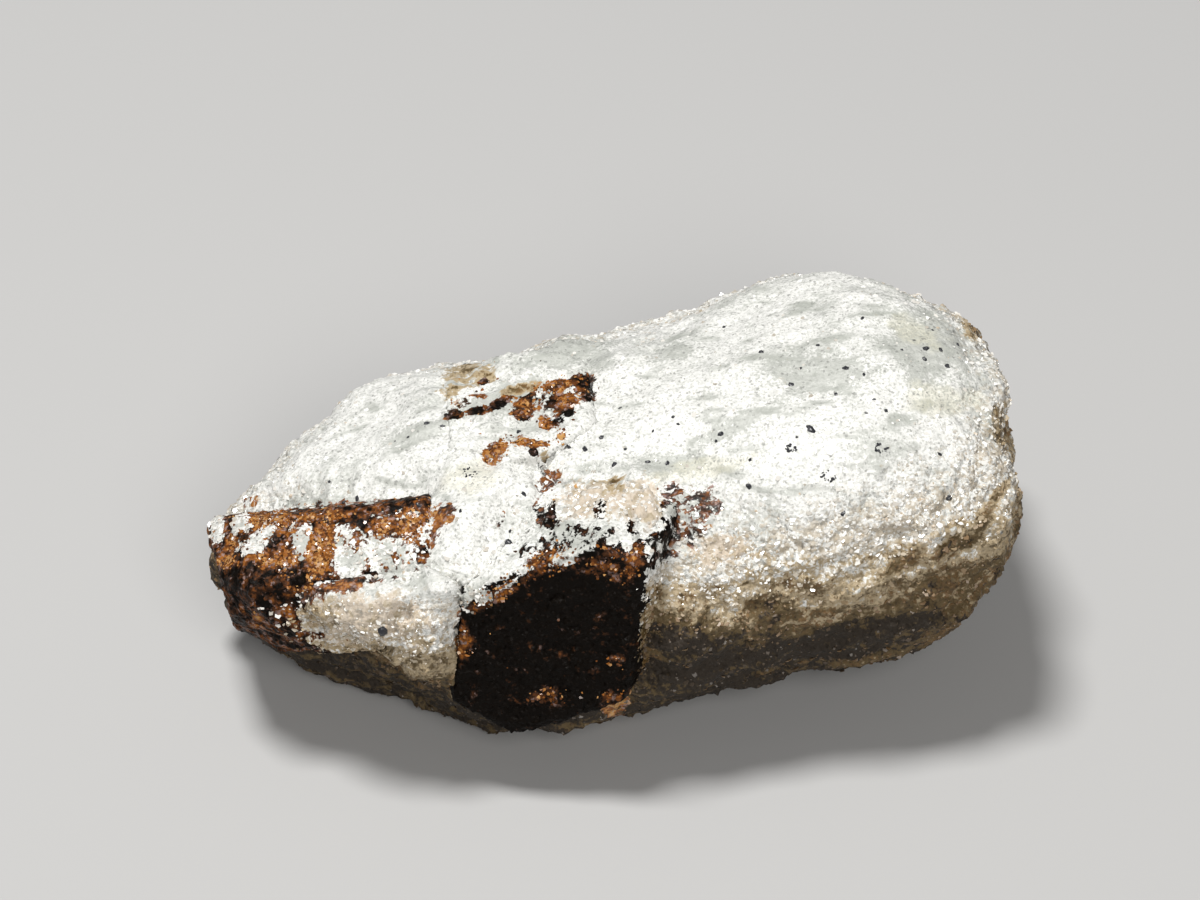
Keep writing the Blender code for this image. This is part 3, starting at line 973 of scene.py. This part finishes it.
def flaky(centres, normals):
    """Where the rock has loose flakes: more of them where it is granular, fewer where it is stained
    and painted with shade.
    """
    clean = 1.0 - 0.70 * np.clip(stain_and_shade_at(centres), 0.0, 1.0)
    return (0.05 + 0.95 * granular_at(centres)) * clean * smooth_step(0.1, 0.6, centres[:, 2])


def gritty(centres, normals):
    """Where the rock has loose quartz grains."""
    quartz = marked(centres, normals, QUARTZ)
    return (0.01 + granular_at(centres) + 1.5 * quartz) * flaky(centres, normals)


def rusty(centres, normals):
    """Where golden flakes lie on a crystal."""
    upper = smooth_step(2.0, 4.0, centres[:, 2]) * smooth_step(-0.1, 0.3, normals[:, 2])
    facing_up = smooth_step(0.25, 0.5, normals[:, 2])
    return (0.02 * facing_up + marked(centres, normals, RUST)) * upper + 1e-6


def coated(centres, normals):
    """Where silver flakes lie on a crystal."""
    return marked(centres, normals, SILVER + QUARTZ) + 1e-6


def make_small_things(rock, crystals):
    """Black grains, quartz grains and mica flakes, on the finished rock and crystals."""
    rng = np.random.default_rng(DRAW_SEED)
    surface = bmesh.new()
    for mesh in (rock, *crystals.values()):
        surface.from_mesh(mesh)
    tree = BVHTree.FromBMesh(surface)
    surface.free()

    def joined(*samples):
        return [np.concatenate(parts) for parts in zip(*samples)]

    more = surface_samples(rock, SCATTERED_GRAINS, out_of_view, rng)
    seen = photo_hits(tree, BLACK_GRAINS + tuple(ring_marks()))
    black = joined(seen, (*more, rng.uniform(*GRAIN_RADII, SCATTERED_GRAINS)))
    silver = joined(
        surface_samples(rock, ROCK_FLAKES, flaky, rng),
        surface_samples(crystals["staurolite_left"], CRYSTAL_FLAKES // 2, coated, rng),
        surface_samples(crystals["staurolite_front"], CRYSTAL_FLAKES // 2, coated, rng),
    )
    golden = joined(
        *(surface_samples(crystals[name], count, rusty, rng) for name, count in GOLDEN_FLAKES.items())
    )
    quartz = surface_samples(rock, ROCK_QUARTZ, gritty, rng)
    quartz_radii = small_first(*QUARTZ_RADII, ROCK_QUARTZ, rng)
    finished("black_grains", lumps("black_grains", *black, 2, rng), ore_material())
    finished(
        "mica_flakes", flakes("mica_flakes", *silver, FLAKE_LAYERING, FLAKE_RADII, rng),
        body_material("silver_mica", True, MICA_SPECULAR, *SILVER_TONES),
    )
    finished(
        "golden_flakes", flakes("golden_flakes", *golden, GOLDEN_LAYERING, GOLDEN_RADII, rng),
        body_material("golden_mica", False, GOLDEN_SPECULAR, *GOLDEN_TONES),
    )
    finished(
        "quartz_grains", lumps("quartz_grains", *quartz, quartz_radii, 1, rng),
        body_material("quartz", True, QUARTZ_SPECULAR, *QUARTZ_TONES),
    )


def main():
    noise.seed_set(NOISE_SEED)  # the offsets of noise_vector come from the clock otherwise
    crystals = {  # with the rounds of smoothing and a seed
        "staurolite_front": crystal_mesh("staurolite_front", front_coat, FRONT_WARMTH_AND_SHADE, 3, 21),
        "staurolite_left": crystal_mesh("staurolite_left", left_coat, LEFT_WARMTH, 4, 31),
        "staurolite_top": crystal_mesh("staurolite_top", top_coat, TOP_WARMTH, 12, 41),
    }
    rock_material = specimen_material("mica_schist", ROCK_SPECULAR)
    rock = make_rock([tree_of(mesh) for mesh in crystals.values()], rock_material)
    rock_mm = rock.data.copy()
    rock_mm.transform(Matrix.Scale(1 / MM, 4))
    make_small_things(rock_mm, crystals)
    crystal_material = specimen_material("staurolite", CRYSTAL_SPECULAR)
    for name, mesh in crystals.items():
        made = finished(f"{name}_crystal", mesh, crystal_material)
        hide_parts(name)
    make_stage()


main()
